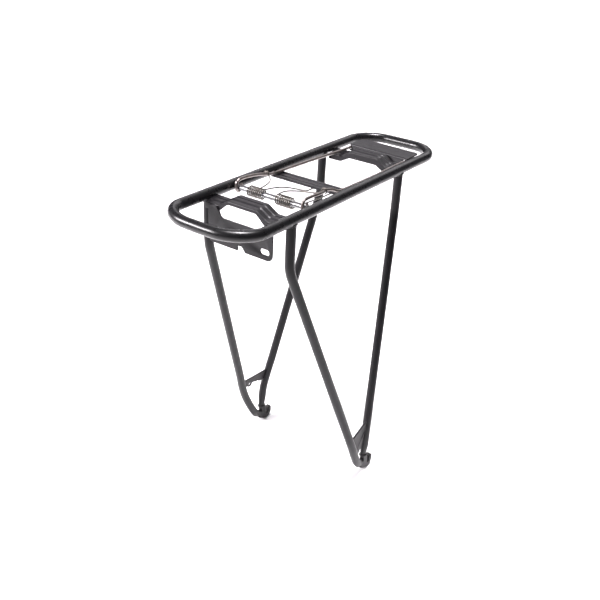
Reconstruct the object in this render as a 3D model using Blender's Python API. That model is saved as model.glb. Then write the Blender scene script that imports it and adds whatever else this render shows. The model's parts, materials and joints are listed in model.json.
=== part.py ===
"""Bicycle rear carrier: a tubular deck loop on four splayed legs, with a sprung wire clamp.

Frame: +X to the right of the bicycle, +Y towards the saddle, +Z up.  The origin is midway
between the two lower fixing slots.  Everything is modelled in the deck frame, whose origin is
the centre of the loop at tube-axis height, and hung on one empty that lifts it into place.
"""
import math

import bmesh
import bpy
from mathutils import Matrix, Vector

# ---- driving dimensions, in metres ------------------------------------------------------
GAP = 0.0003                 # left between pieces that touch
FOOT_GAP = 0.0012            # left at the foot joints, where the tubes meet the lug at a slant

DECK_HEIGHT = 0.4050         # loop tube axis above the fixing slots
DECK_Y = -0.0330             # loop centre behind the fixing slots

RAIL_RADIUS = 0.0065         # loop tube, 13 mm across
HALF_WIDTH = 0.0585          # loop tube axis to the middle of the deck
HALF_LENGTH = 0.2045
REAR_CORNER = (0.0395, 0.0310)   # rear corner reach across and along
FRONT_CORNER = (0.0395, 0.0395)
REAR_BOW = 0.0036            # how far the rear end bulges past its corners

LEG_RADIUS = 0.00575
LEG_TOP_Z = -0.0030
LEG_BEND_Z = -0.0600         # where each leg leaves the vertical and splays out
REAR_LEG_Y = -0.1286
FRONT_LEG_Y = 0.0979
REAR_ANKLE = (0.0925, -0.0172, -0.3480)
FRONT_ANKLE = (0.0900, 0.0252, -0.3540)
REAR_HEEL = (0.0914, 0.0045, -0.3905)
REAR_LEG_END = (0.0910, 0.0170, -0.4015)
FRONT_LEG_END = (0.0910, 0.0225, -0.3880)
BEND_RADIUS = 0.055
ANKLE_CURVE = 0.17             # share of the leg above its ankle that joins the foot curve

LUG_X = 0.0910
LUG_THICKNESS = 0.0070
LUG_TOE_RADIUS = 0.0100
PRONG_Z = -0.4015            # centre of the rounded end of the slot's front prong
SLOT_Y = -DECK_Y             # fixing slot, in the deck frame
SLOT_Z = -DECK_HEIGHT
SLOT_HALF_WIDTH = 0.0028
GUSSET_THICKNESS = 0.0025
STAY_HOLE = (-0.0098, -0.3325)   # Y and Z of the mudguard stay hole, in the left gusset only

SHEET = 0.0020               # pressed arches and lamp plate
EAR_TOP_Z = -0.0025
ARCH_TOP_Z = 0.0055
ARCH_HALF_TOP = 0.0200       # half length of the raised middle
ARCH_HALF_FOOT = 0.0330      # half length where the slopes reach the ears
EAR_END_X = 0.0521
ARCH_DEPTH = 0.0230
REAR_ARCH_Y = -0.1410        # rear edge of each arch
FRONT_ARCH_Y = 0.1040
REAR_APRON = 0.0055          # height of the turned-down rear edge, middle of the arch
FRONT_APRON = 0.0100
APRON_EAR_Z = -0.0115        # lowest edge of the apron at the ears

LAMP_HALF_WIDTH = 0.0455
LAMP_BOTTOM_Z = -0.0490
LAMP_SILL_Z = -0.0165
LAMP_SHOULDER_Z = -0.0050
LAMP_SLOT_X = 0.0350
LAMP_SLOT_Z = -0.0393
LAMP_SLOT_HALF_LENGTH = 0.0062
LAMP_SLOT_RADIUS = 0.0034
LAMP_CORNER = 0.0070
LAMP_WINDOW_X = 0.0030       # middle of the cut-away in the plate's top edge

BAR_Y = -0.0125              # middle crossbar
BAR_DEPTH = 0.0200
BAR_THICKNESS = 0.0030
BAR_TOP_Z = -0.0022
BAR_END_X = 0.0520

HINGE_Y = -0.0890
AXLE_RADIUS = 0.0025
SLEEVE_BORE = 0.0028
SLEEVE_RADIUS = 0.0034

WIRE_RADIUS = 0.0019         # clamp wire
EYE_X = 0.0468
EYE_RADIUS = AXLE_RADIUS + WIRE_RADIUS + GAP
WIRE_FRONT_X = 0.0428
WIRE_FRONT_Y = 0.1600
WIRE_FRONT_Z = 0.0001
CLAMP_PLATE_TOP_Z = 0.0048
CLAMP_SHEET = 0.0015
CLAMP_PLATE_Y = (0.1325, 0.1655)
CLAMP_PLATE_X = (-0.0390, 0.0512)
CLAMP_PLATE_TURN = 0.045     # the plate's right end sits this much further back, per metre of width
CLAMP_SKEW = 0.0055          # how far the front of the clamp sits to the right
CLAMP_SKEW_FROM = 0.050      # ahead of the hinge axis, where the skew begins
CLAMP_LIP_Z = -0.0036
CLAMP_LIP_LEAN = 0.0014

SPRING_WIRE = 0.0009         # wire radius of the torsion springs
COIL_RADIUS = 0.0057
COIL_TURNS = 7.5
COIL_LENGTH = 0.0203
LEFT_COIL_X = -0.0304        # left end of each coil
RIGHT_COIL_X = 0.0097


# ---- scene and looks -----------------------------------------------------------------------
def clear_scene():
    for obj in list(bpy.data.objects):
        bpy.data.objects.remove(obj, do_unlink=True)


def paint(name, colour, roughness, metallic):
    material = bpy.data.materials.new(name)
    material.use_nodes = True
    shader = material.node_tree.nodes["Principled BSDF"]
    shader.inputs["Base Color"].default_value = (*colour, 1.0)
    shader.inputs["Roughness"].default_value = roughness
    shader.inputs["Metallic"].default_value = metallic
    return material


def add_empty(name, location, parent=None):
    empty = bpy.data.objects.new(name, None)
    empty.location = location
    empty.parent = parent
    bpy.context.collection.objects.link(empty)
    return empty


def add_object(name, mesh, material, parent, location=(0.0, 0.0, 0.0)):
    mesh.materials.clear()
    mesh.materials.append(material)
    mesh.shade_smooth()
    mesh.set_sharp_from_angle(angle=math.radians(40))
    obj = bpy.data.objects.new(name, mesh)
    obj.location = location
    obj.parent = parent
    bpy.context.collection.objects.link(obj)
    return obj


def cut(obj, cutter):
    """Boolean difference, with the cutter kept only as a guide."""
    cutter.hide_render = True
    cutter.display_type = "WIRE"
    modifier = obj.modifiers.new("cut", "BOOLEAN")
    modifier.operation = "DIFFERENCE"
    modifier.object = cutter


# ---- mesh builders --------------------------------------------------------------------------
def rounded_path(points, radius, steps=5):
    """Polyline with each inner corner replaced by an arc."""
    points = [Vector(p) for p in points]
    path = [points[0]]
    for before, corner, after in zip(points, points[1:], points[2:]):
        back = (before - corner).normalized()
        ahead = (after - corner).normalized()
        half = back.angle(ahead) / 2
        reach = min(radius / math.tan(half), 0.48 * (before - corner).length,
                    0.48 * (after - corner).length)
        centre = corner + (back + ahead).normalized() * (reach / math.cos(half))
        spoke = corner + back * reach - centre
        axis = ahead.cross(back)
        turn = math.pi - 2 * half
        for i in range(steps + 1):
            path.append(centre + Matrix.Rotation(turn * i / steps, 3, axis) @ spoke)
    path.append(points[-1])
    return path


def smooth_path(points, steps):
    """Catmull-Rom curve through the points."""
    points = [Vector(p) for p in points]
    ends = [2 * points[0] - points[1], *points, 2 * points[-1] - points[-2]]
    path = []
    for a, b, c, d in zip(ends, ends[1:], ends[2:], ends[3:]):
        for i in range(steps):
            t = i / steps
            path.append(0.5 * (2 * b + (c - a) * t + (2 * a - 5 * b + 4 * c - d) * t * t
                               + (3 * b - a - 3 * c + d) * t ** 3))
    path.append(points[-1])
    return path


def tube_mesh(name, path, radius, sides, cyclic=False):
    """Round wire or tube along a path, with closed ends."""
    curve = bpy.data.curves.new(name, "CURVE")
    curve.dimensions = "3D"
    curve.fill_mode = "FULL"
    curve.bevel_depth = radius
    curve.bevel_resolution = (sides - 4) // 2
    curve.use_fill_caps = True
    spline = curve.splines.new("POLY")
    spline.points.add(len(path) - 1)
    for point, place in zip(spline.points, path):
        point.co = (*place, 1.0)
    spline.use_cyclic_u = cyclic
    guide = bpy.data.objects.new(name + "_guide", curve)
    bpy.context.collection.objects.link(guide)
    bpy.context.view_layer.update()
    mesh = bpy.data.meshes.new_from_object(guide.evaluated_get(bpy.context.evaluated_depsgraph_get()))
    bpy.data.objects.remove(guide, do_unlink=True)
    mesh.name = name
    return mesh


def slab_mesh(name, outline, x_low, x_high):
    """Outline in Y and Z, extruded along X."""
    bm = bmesh.new()
    face = bm.faces.new([bm.verts.new((x_low, y, z)) for y, z in outline])
    extruded = bmesh.ops.extrude_face_region(bm, geom=[face])
    moved = [item for item in extruded["geom"] if isinstance(item, bmesh.types.BMVert)]
    bmesh.ops.translate(bm, verts=moved, vec=(x_high - x_low, 0, 0))
    return closed_mesh(bm, name)


def closed_mesh(bm, name):
    bmesh.ops.recalc_face_normals(bm, faces=bm.faces)
    mesh = bpy.data.meshes.new(name)
    bm.to_mesh(mesh)
    bm.free()
    return mesh


def strip_mesh(name, stations, sections):
    """Sheet pressing: one closed Y-Z section at each X station, skinned together."""
    bm = bmesh.new()
    rings = [[bm.verts.new((x, y, z)) for y, z in section] for x, section in zip(stations, sections)]
    for ring, following in zip(rings, rings[1:]):
        for i in range(len(ring)):
            j = (i + 1) % len(ring)
            bm.faces.new((ring[i], ring[j], following[j], following[i]))
    bm.faces.new(rings[0])
    bm.faces.new(rings[-1])
    return closed_mesh(bm, name)


def arc(centre, radius, start_deg, end_deg, steps):
    """Points of an arc in a plane, both ends included."""
    angles = (math.radians(start_deg + (end_deg - start_deg) * i / steps) for i in range(steps + 1))
    return [(centre[0] + radius * math.cos(a), centre[1] + radius * math.sin(a)) for a in angles]


def cylinder(name, radius, length, location, axis, parent, sides=32):
    bm = bmesh.new()
    bmesh.ops.create_cone(bm, cap_ends=True, segments=sides, radius1=radius, radius2=radius, depth=length)
    turn = Vector((0, 0, 1)).rotation_difference(Vector(axis)).to_matrix().to_4x4()
    bmesh.ops.transform(bm, matrix=turn, verts=bm.verts)
    obj = bpy.data.objects.new(name, closed_mesh(bm, name))
    obj.location = location
    obj.parent = parent
    bpy.context.collection.objects.link(obj)
    return obj


# ---- deck -------------------------------------------------------------------------------------
def loop_path():
    """Rounded rectangle, counter-clockwise from the right rail, with a bowed rear end."""
    corners = ((1, 1, FRONT_CORNER, 0), (-1, 1, FRONT_CORNER, 90),
               (-1, -1, REAR_CORNER, 180), (1, -1, REAR_CORNER, 270))
    steps = 9
    path = []
    for side, end, (across, along), start in corners:
        for i in range(steps + 1):
            angle = math.radians(start + 90 * i / steps)
            x = side * (HALF_WIDTH - across) + across * math.cos(angle)
            y = end * (HALF_LENGTH - along) + along * math.sin(angle)
            path.append(Vector((x, y, 0)))
        if (side, end) == (-1, -1):
            inner = HALF_WIDTH - across
            path += [Vector((inner * (i / 2 - 1), -HALF_LENGTH, 0)) for i in (1, 2, 3)]
    for point in path:
        depth = (-point.y - (HALF_LENGTH - REAR_CORNER[1])) / REAR_CORNER[1]
        point.y -= REAR_BOW * max(0.0, depth) * math.cos(0.5 * math.pi * point.x / HALF_WIDTH)
    return path


def arch_height(x):
    """Top of the arch sheet at X: raised middle, slopes, ears."""
    across = abs(x)
    if across <= ARCH_HALF_TOP:
        return ARCH_TOP_Z
    if across >= ARCH_HALF_FOOT:
        return EAR_TOP_Z
    share = (across - ARCH_HALF_TOP) / (ARCH_HALF_FOOT - ARCH_HALF_TOP)
    return ARCH_TOP_Z + (EAR_TOP_Z - ARCH_TOP_Z) * share


def arch_section(x, rear_y, apron):
    """Sheet with a turned-down rear edge and one pressed step along it."""
    top = arch_height(x)
    front_y = rear_y + ARCH_DEPTH
    step_y = rear_y + 0.35 * ARCH_DEPTH
    step = 0.0012
    share = (arch_height(x) - EAR_TOP_Z) / (ARCH_TOP_Z - EAR_TOP_Z)
    apron_z = APRON_EAR_Z + (ARCH_TOP_Z - apron - APRON_EAR_Z) * share
    upper = [(rear_y + 0.0008, top - step), (step_y, top - step), (step_y + step, top), (front_y, top)]
    lower = [(front_y, top - SHEET), (step_y + step + 0.0004, top - SHEET),
             (step_y + 0.0004, top - step - SHEET), (rear_y + SHEET, top - step - SHEET)]
    return [(rear_y, apron_z), (rear_y, top - step - 0.0008), *upper, *lower, (rear_y + SHEET, apron_z)]


def arch_mesh(name, rear_y, apron):
    half = [ARCH_HALF_TOP - 0.0015, ARCH_HALF_TOP + 0.0010, ARCH_HALF_TOP + 0.0040,
            ARCH_HALF_FOOT - 0.0040, ARCH_HALF_FOOT - 0.0010, ARCH_HALF_FOOT + 0.0015, EAR_END_X]
    stations = [-x for x in reversed(half)] + half
    return strip_mesh(name, stations, [arch_section(x, rear_y, apron) for x in stations])


def lamp_plate_outline():
    """Outline in X and Z: cut-away top, rounded lower corners, a notch at the middle."""
    wide, low, corner = LAMP_HALF_WIDTH, LAMP_BOTTOM_Z, LAMP_CORNER
    sill_corner = 0.0060
    notch_top = low + 0.0062
    left = [(-wide, LAMP_SHOULDER_Z), *arc((-wide + corner, low + corner), corner, 180, 270, 5),
            (-0.0030, low), (-0.0030, notch_top)]
    right = [(0.0030, notch_top), (0.0078, low),
             *arc((wide - corner, low + corner), corner, 270, 360, 5), (wide, LAMP_SHOULDER_Z)]
    half = [*arc((0.0260, LAMP_SILL_Z + sill_corner), sill_corner, -90, 0, 5),
            (0.0345, -0.0085), (0.0370, LAMP_SHOULDER_Z)]
    top_right = [(LAMP_WINDOW_X + x, z) for x, z in reversed(half)]
    top_left = [(LAMP_WINDOW_X - x, z) for x, z in half]
    return left + right + top_right + top_left


def lamp_plate(material, parent):
    """Upright plate welded to the rear face of the rear arch, with two slots for a lamp."""
    front_y = REAR_ARCH_Y - GAP
    mesh = slab_mesh("lamp_plate", lamp_plate_outline(), -SHEET / 2, SHEET / 2)
    # the outline is drawn as (X, Z); swapping X and Y stands the slab up across the deck
    mesh.transform(Matrix(((0, 1, 0, 0), (-1, 0, 0, front_y - SHEET / 2), (0, 0, 1, 0), (0, 0, 0, 1))))
    plate = add_object("lamp_plate", mesh, material, parent)
    reach = LAMP_SLOT_HALF_LENGTH - LAMP_SLOT_RADIUS
    outline = arc((reach, 0), LAMP_SLOT_RADIUS, -90, 90, 8)
    outline += arc((-reach, 0), LAMP_SLOT_RADIUS, 90, 270, 8)
    for side, label in ((-1, "left"), (1, "right")):
        slot = slab_mesh("lamp_slot_" + label, outline, -SHEET, SHEET)
        slot.transform(Matrix(((0, 1, 0, 0), (-1, 0, 0, 0), (0, 0, 1, 0), (0, 0, 0, 1))))
        cutter = bpy.data.objects.new("lamp_slot_" + label, slot)
        cutter.location = (side * LAMP_SLOT_X, front_y - SHEET / 2, LAMP_SLOT_Z)
        cutter.parent = parent
        bpy.context.collection.objects.link(cutter)
        cut(plate, cutter)


def crossbar_mesh():
    """Flat bar with two grooves pressed along its top."""
    half, groove, wall = BAR_DEPTH / 2, 0.0009, 0.0006
    outline = [(BAR_Y - half, BAR_TOP_Z - BAR_THICKNESS), (BAR_Y - half, BAR_TOP_Z)]
    for centre in (-0.0042, 0.0042):
        left, right = BAR_Y + centre - 0.0016, BAR_Y + centre + 0.0016
        outline += [(left, BAR_TOP_Z), (left + wall, BAR_TOP_Z - groove),
                    (right - wall, BAR_TOP_Z - groove), (right, BAR_TOP_Z)]
    outline += [(BAR_Y + half, BAR_TOP_Z), (BAR_Y + half, BAR_TOP_Z - BAR_THICKNESS)]
    return slab_mesh("middle_crossbar", outline, -BAR_END_X, BAR_END_X)


# ---- legs and feet ------------------------------------------------------------------------------
def leg_points(front):
    """Top, bend, ankle and lower end of a right-hand leg's centre line."""
    y = FRONT_LEG_Y if front else REAR_LEG_Y
    low = [FRONT_ANKLE, FRONT_LEG_END] if front else [REAR_ANKLE, REAR_HEEL, REAR_LEG_END]
    return [Vector(p) for p in ((HALF_WIDTH, y, LEG_TOP_Z), (HALF_WIDTH, y, LEG_BEND_Z), *low)]


def leg_path(side, front):
    """Leg centre line: straight with one bend near the top, then a smooth curve into the foot."""
    top, bend, ankle, *low = (Vector((side * p.x, p.y, p.z)) for p in leg_points(front))
    start = ankle.lerp(bend, ANKLE_CURVE)
    return rounded_path([top, bend, start], BEND_RADIUS, 6) + smooth_path([start, ankle, *low], 5)[1:]


def add_leg(side, front, material, parent, rail_cutter):
    label = ("front" if front else "rear") + ("_left_leg" if side < 0 else "_right_leg")
    mesh = tube_mesh(label, leg_path(side, front), LEG_RADIUS, 16)
    cut(add_object(label, mesh, material, parent), rail_cutter)


def lug_outline():
    """Flattened foot in Y and Z: it carries on from the rear leg and ends in an open bolt slot."""
    slot = (SLOT_Y, SLOT_Z)
    end, heel = Vector(REAR_LEG_END[1:]), Vector(REAR_HEEL[1:])
    along = (end - heel).normalized()
    across = Vector((-along.y, along.x))
    start = end + along * FOOT_GAP
    outer, inner = start - across * LEG_RADIUS, start + across * LEG_RADIUS
    sole = [outer, (0.0200, -0.4110)]
    toe = arc(slot, LUG_TOE_RADIUS, -120, 10, 9)
    prong_radius = (LUG_TOE_RADIUS - SLOT_HALF_WIDTH) / 2
    prong = arc((SLOT_Y + SLOT_HALF_WIDTH + prong_radius, PRONG_Z), prong_radius, 0, 180, 6)
    throat = arc(slot, SLOT_HALF_WIDTH, 0, -180, 6)
    front_y = FRONT_LEG_END[1]
    socket_z = FRONT_LEG_END[2] - FOOT_GAP
    socket = [(front_y + LEG_RADIUS, socket_z), (front_y - LEG_RADIUS, socket_z)]
    crotch = [(SLOT_Y - SLOT_HALF_WIDTH, -0.3965), (0.0287, -0.3935), *socket, (0.0198, -0.3948)]
    return [tuple(p) for p in (*sole, *toe, *prong, *throat, *crotch, inner)]


def band_gusset_outline():
    """Narrow web between the legs, with a rounded tab for a mudguard stay at its rear end."""
    top_z, low_z = -0.3200, -0.3310
    return [(-0.0280, top_z), (0.0305, top_z - 0.0055), (0.0270, low_z - 0.0095), (0.0150, low_z - 0.0085),
            (0.0120, low_z - 0.0080), (0.0080, low_z - 0.0050), (0.0030, low_z - 0.0045),
            (-0.0010, low_z - 0.0020), (-0.0045, low_z - 0.0020),
            *arc(STAY_HOLE, 0.0050, -10, -150, 6), (-0.0240, top_z - 0.0120)]


def triangle_gusset_outline():
    """Deeper web that runs down the rear leg towards the foot."""
    return [(-0.0180, -0.3455), (0.0288, -0.3325), (0.0255, -0.3420), (0.0178, -0.3480), (0.0155, -0.3570),
            (0.0110, -0.3700), (0.0048, -0.3790), (-0.0040, -0.3740)]


def gusset_offset(z):
    """How far the plane of a side's legs has moved out at height z."""
    ankle_x, ankle_z = ((a + b) / 2 for a, b in zip(REAR_ANKLE[::2], FRONT_ANKLE[::2]))
    share = min(1.0, (z - LEG_BEND_Z) / (ankle_z - LEG_BEND_Z))
    return HALF_WIDTH + (ankle_x - HALF_WIDTH) * share


def add_gusset(side, outline, material, parent):
    """Web in the plane of its side's legs, leaning with them."""
    name = "left_gusset" if side < 0 else "right_gusset"
    mesh = slab_mesh(name, outline, -GUSSET_THICKNESS / 2, GUSSET_THICKNESS / 2)
    for vertex in mesh.vertices:
        vertex.co.x = side * (gusset_offset(vertex.co.z) + vertex.co.x)
    if side < 0:
        mesh.flip_normals()
    gusset = add_object(name, mesh, material, parent)
    if side < 0:
        hole = (side * gusset_offset(STAY_HOLE[1]), *STAY_HOLE)
        cut(gusset, cylinder("stay_hole", 0.0026, 0.02, hole, (1, 0, 0), parent, 16))
    for front in (False, True):
        mesh = tube_mesh("leg_clearance", leg_path(side, front), LEG_RADIUS + GAP, 16)
        cutter = bpy.data.objects.new(name + ("_front_cut" if front else "_rear_cut"), mesh)
        cutter.parent = parent
        bpy.context.collection.objects.link(cutter)
        cut(gusset, cutter)


# ---- clamp -------------------------------------------------------------------------------------
def eye_arc():
    """Open eye round the axle: from its free end at the front, under the axle, to the back."""
    start, end, steps = 40, -180, 12
    angles = (math.radians(start + (end - start) * i / steps) for i in range(steps + 1))
    return [Vector((EYE_X, EYE_RADIUS * math.cos(a), EYE_RADIUS * math.sin(a))) for a in angles]


def clamp_skew(y):
    """Sideways offset of the clamp at a distance ahead of the hinge axis."""
    reach = WIRE_FRONT_Y - HINGE_Y - CLAMP_SKEW_FROM
    return CLAMP_SKEW * max(0.0, y - CLAMP_SKEW_FROM) / reach


def clamp_wire_path():
    """One wire, left eye to right eye, relative to the hinge axis."""
    arm = [(EYE_X, -EYE_RADIUS, 0.0020), (EYE_X, -0.0036, 0.0066), (EYE_X, 0.0010, 0.0090),
           (EYE_X, 0.0100, 0.0092), (0.0462, 0.0250, 0.0082), (0.0445, 0.0380, 0.0066),
           (0.0412, 0.0450, 0.0056), (0.0400, 0.0510, 0.0048), (0.0425, 0.0590, 0.0040),
           (0.0456, 0.0640, 0.0018), (0.0466, 0.0720, 0.0006), (0.0466, 0.1000, 0.0004),
           (0.0454, 0.1500, 0.0001), (0.0432, 0.1950, WIRE_FRONT_Z)]
    side = eye_arc() + smooth_path(arm, 3)
    front = WIRE_FRONT_Y - HINGE_Y
    turn = 0.0090
    corner = [Vector((WIRE_FRONT_X - turn + x, front - turn + y, WIRE_FRONT_Z))
              for x, y in arc((0, 0), turn, 0, 90, 5)]
    half = side + corner
    path = [Vector((-p.x, p.y, p.z)) for p in half] + half[::-1]
    return [Vector((p.x + clamp_skew(p.y), p.y, p.z)) for p in path]


def clamp_plate_section():
    """Flat top with a turned-down rear lip, in Y and Z relative to the hinge axis."""
    rear, front = (y - HINGE_Y for y in CLAMP_PLATE_Y)
    top, sheet = CLAMP_PLATE_TOP_Z, CLAMP_SHEET
    bend = 0.0022
    outside = arc((rear + bend, top - bend), bend, 90, 180, 4)
    inside = arc((rear + bend, top - bend), bend - sheet, 180, 90, 4)
    lip = [(rear - CLAMP_LIP_LEAN, CLAMP_LIP_Z), (rear + sheet - CLAMP_LIP_LEAN, CLAMP_LIP_Z)]
    nose = [(front, top - sheet), (front, top - 0.0004), (front - 0.0004, top)]
    return [*outside, *lip, *inside, *nose]


def add_clamp_plate(material, parent):
    mesh = slab_mesh("clamp_plate", clamp_plate_section(), *CLAMP_PLATE_X)
    for vertex in mesh.vertices:
        vertex.co.y -= CLAMP_PLATE_TURN * (vertex.co.x - sum(CLAMP_PLATE_X) / 2)
    plate = add_object("clamp_plate", mesh, material, parent)
    for side, label in ((-1, "left"), (1, "right")):
        start, end = (Vector((side * x + clamp_skew(y), y, WIRE_FRONT_Z))
                      for x, y in ((0.0432, 0.1950), (WIRE_FRONT_X, 0.2400)))
        notch = tube_mesh("notch_" + label, [start, end], WIRE_RADIUS + 2 * GAP, 16)
        cutter = bpy.data.objects.new("wire_notch_" + label, notch)
        cutter.parent = parent
        bpy.context.collection.objects.link(cutter)
        cut(plate, cutter)


# ---- hinge and springs ---------------------------------------------------------------------------
def sleeve_mesh(name, low_x, high_x, bore, radius, sides=24):
    """Plain tube on the axle: four rings of its wall section, joined into one closed skin."""
    bm = bmesh.new()
    corners = ((low_x, bore), (high_x, bore), (high_x, radius), (low_x, radius))
    angles = [2 * math.pi * i / sides for i in range(sides)]
    rings = [[bm.verts.new((x, r * math.cos(a), r * math.sin(a))) for a in angles] for x, r in corners]
    for ring, following in zip(rings, rings[1:] + rings[:1]):
        for i in range(sides):
            j = (i + 1) % sides
            bm.faces.new((ring[i], ring[j], following[j], following[i]))
    return closed_mesh(bm, name)


def coil_path(left_x, way):
    """Close coil round the axle; way 1 starts at the bottom and ends on top, way -1 the reverse."""
    per_turn = 14
    steps = int(COIL_TURNS * per_turn)
    path = []
    for i in range(steps + 1):
        share = i / steps
        angle = way * (-0.5 * math.pi - 2 * math.pi * COIL_TURNS * share)
        path.append(Vector((left_x + COIL_LENGTH * share, COIL_RADIUS * math.cos(angle),
                            COIL_RADIUS * math.sin(angle))))
    return path


def hook_arc(side):
    """Hook over the clamp wire, from its inner side across the top and down outside."""
    centre = (0.0418, 0.0057)
    radius = WIRE_RADIUS + SPRING_WIRE + 2 * GAP
    return [Vector((side * x, 0.0440, z)) for x, z in arc(centre, radius, 190, -60, 9)]


def spring_mesh(name, left_x, hook_leg, bar_leg, side):
    """Torsion spring relative to the hinge axis: hook leg, coil, leg under the crossbar."""
    first = smooth_path(hook_leg + [hook_arc(side)[0]], 3)[::-1]
    path = hook_arc(side)[::-1] + first[1:] + coil_path(left_x, -side) + smooth_path(bar_leg, 3)[1:]
    return tube_mesh(name, path, SPRING_WIRE, 8)


def add_springs(material, parent):
    low, high = -COIL_RADIUS, COIL_RADIUS
    left_hook = [(-0.0306, 0.0030, low), (-0.0318, 0.0130, -0.0050), (-0.0335, 0.0240, -0.0042),
                 (-0.0340, 0.0330, -0.0036), (-0.0340, 0.0410, -0.0010), (-0.0362, 0.0440, 0.0025)]
    left_bar = [(-0.0099, 0.0000, high), (-0.0090, 0.0060, 0.0055), (-0.0076, 0.0160, 0.0046),
                (-0.0028, 0.0286, 0.0032), (0.0060, 0.0385, 0.0008), (0.0090, 0.0480, -0.0026),
                (0.0080, 0.0580, -0.0062), (0.0075, 0.0650, -0.0069), (0.0075, 0.0760, -0.0069)]
    right_hook = [(0.0097, 0.0030, high), (0.0088, 0.0070, 0.0053), (0.0080, 0.0130, 0.0046),
                  (0.0082, 0.0210, 0.0034), (0.0115, 0.0290, 0.0022), (0.0176, 0.0345, 0.0016),
                  (0.0240, 0.0380, 0.0014), (0.0300, 0.0408, 0.0014), (0.0356, 0.0435, 0.0024)]
    right_bar = [(0.0302, 0.0000, low), (0.0306, 0.0110, -0.0058), (0.0315, 0.0300, -0.0062),
                 (0.0325, 0.0500, -0.0068), (0.0330, 0.0640, -0.0069), (0.0330, 0.0760, -0.0069)]
    for side, name, left_x, hook, bar in ((-1, "left_torsion_spring", LEFT_COIL_X, left_hook, left_bar),
                                          (1, "right_torsion_spring", RIGHT_COIL_X, right_hook, right_bar)):
        add_object(name, spring_mesh(name, left_x, hook, bar, side), material, parent)


# ---- assembly --------------------------------------------------------------------------------------
def build():
    clear_scene()
    black = paint("black_powder_coat", (0.018, 0.018, 0.020), 0.42, 0.0)
    satin = paint("satin_black_sheet", (0.060, 0.058, 0.062), 0.48, 0.0)
    nickel = paint("nickel_plated_wire", (0.66, 0.60, 0.56), 0.28, 1.0)
    steel = paint("spring_steel", (0.50, 0.47, 0.43), 0.30, 1.0)
    zinc = paint("zinc_plated_steel", (0.74, 0.74, 0.75), 0.25, 1.0)

    deck = add_empty("deck_frame", (0.0, DECK_Y, DECK_HEIGHT))
    hinge = add_empty("clamp_hinge", (0.0, HINGE_Y, 0.0), deck)

    add_object("top_loop", tube_mesh("top_loop", loop_path(), RAIL_RADIUS, 20, True), black, deck)
    add_object("rear_arch", arch_mesh("rear_arch", REAR_ARCH_Y, REAR_APRON), satin, deck)
    add_object("front_arch", arch_mesh("front_arch", FRONT_ARCH_Y, FRONT_APRON), satin, deck)
    add_object("middle_crossbar", crossbar_mesh(), satin, deck)
    lamp_plate(satin, deck)

    for side, label in ((-1, "left"), (1, "right")):
        rail = cylinder("rail_clearance_" + label, RAIL_RADIUS + GAP, 0.30,
                        (side * HALF_WIDTH, -0.02, 0.0), (0, 1, 0), deck, 48)
        for front in (False, True):
            add_leg(side, front, black, deck, rail)
        low, high = sorted((side * (LUG_X - LUG_THICKNESS / 2), side * (LUG_X + LUG_THICKNESS / 2)))
        lug = slab_mesh(label + "_foot_lug", lug_outline(), low, high)
        add_object(label + "_foot_lug", lug, black, deck)
    add_gusset(-1, band_gusset_outline(), satin, deck)
    add_gusset(1, triangle_gusset_outline(), satin, deck)

    axle_end = HALF_WIDTH - RAIL_RADIUS - GAP
    axle = tube_mesh("hinge_axle", [(-axle_end, 0, 0), (axle_end, 0, 0)], AXLE_RADIUS, 24)
    add_object("hinge_axle", axle, zinc, hinge)
    for name, low, high in (("left_axle_sleeve", -0.0436, -0.0322), ("centre_axle_sleeve", -0.0084, 0.0080),
                            ("right_axle_sleeve", 0.0318, 0.0440)):
        add_object(name, sleeve_mesh(name, low, high, SLEEVE_BORE, SLEEVE_RADIUS), zinc, hinge)
    add_springs(steel, hinge)

    add_object("clamp_wire", tube_mesh("clamp_wire", clamp_wire_path(), WIRE_RADIUS, 12), nickel, hinge)
    add_clamp_plate(satin, hinge)


build()
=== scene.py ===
import json
import math

import bmesh
import bpy
from mathutils import Matrix, Vector, noise


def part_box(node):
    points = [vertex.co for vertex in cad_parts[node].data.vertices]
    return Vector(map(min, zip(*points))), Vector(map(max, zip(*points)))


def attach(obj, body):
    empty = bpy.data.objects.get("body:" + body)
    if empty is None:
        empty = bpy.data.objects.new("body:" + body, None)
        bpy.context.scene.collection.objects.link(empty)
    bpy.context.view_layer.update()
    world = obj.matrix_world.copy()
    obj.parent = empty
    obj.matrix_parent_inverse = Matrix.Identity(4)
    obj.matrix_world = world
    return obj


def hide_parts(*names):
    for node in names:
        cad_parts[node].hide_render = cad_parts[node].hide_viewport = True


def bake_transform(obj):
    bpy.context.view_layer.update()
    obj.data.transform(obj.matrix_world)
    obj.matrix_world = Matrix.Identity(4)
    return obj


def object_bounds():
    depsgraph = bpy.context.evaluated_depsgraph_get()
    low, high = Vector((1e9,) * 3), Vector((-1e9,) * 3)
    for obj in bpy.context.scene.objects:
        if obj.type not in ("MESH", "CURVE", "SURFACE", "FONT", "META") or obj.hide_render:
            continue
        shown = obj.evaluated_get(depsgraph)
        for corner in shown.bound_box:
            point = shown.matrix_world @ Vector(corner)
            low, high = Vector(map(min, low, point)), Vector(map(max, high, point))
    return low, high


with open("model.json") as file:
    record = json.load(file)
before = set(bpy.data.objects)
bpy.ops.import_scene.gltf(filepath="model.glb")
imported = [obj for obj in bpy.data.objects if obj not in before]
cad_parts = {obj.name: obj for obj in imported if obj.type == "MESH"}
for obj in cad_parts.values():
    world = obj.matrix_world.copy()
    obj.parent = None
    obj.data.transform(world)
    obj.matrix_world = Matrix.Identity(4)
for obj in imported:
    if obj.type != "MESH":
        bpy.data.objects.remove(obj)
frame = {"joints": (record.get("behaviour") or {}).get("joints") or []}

START_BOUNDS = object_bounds()

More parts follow.
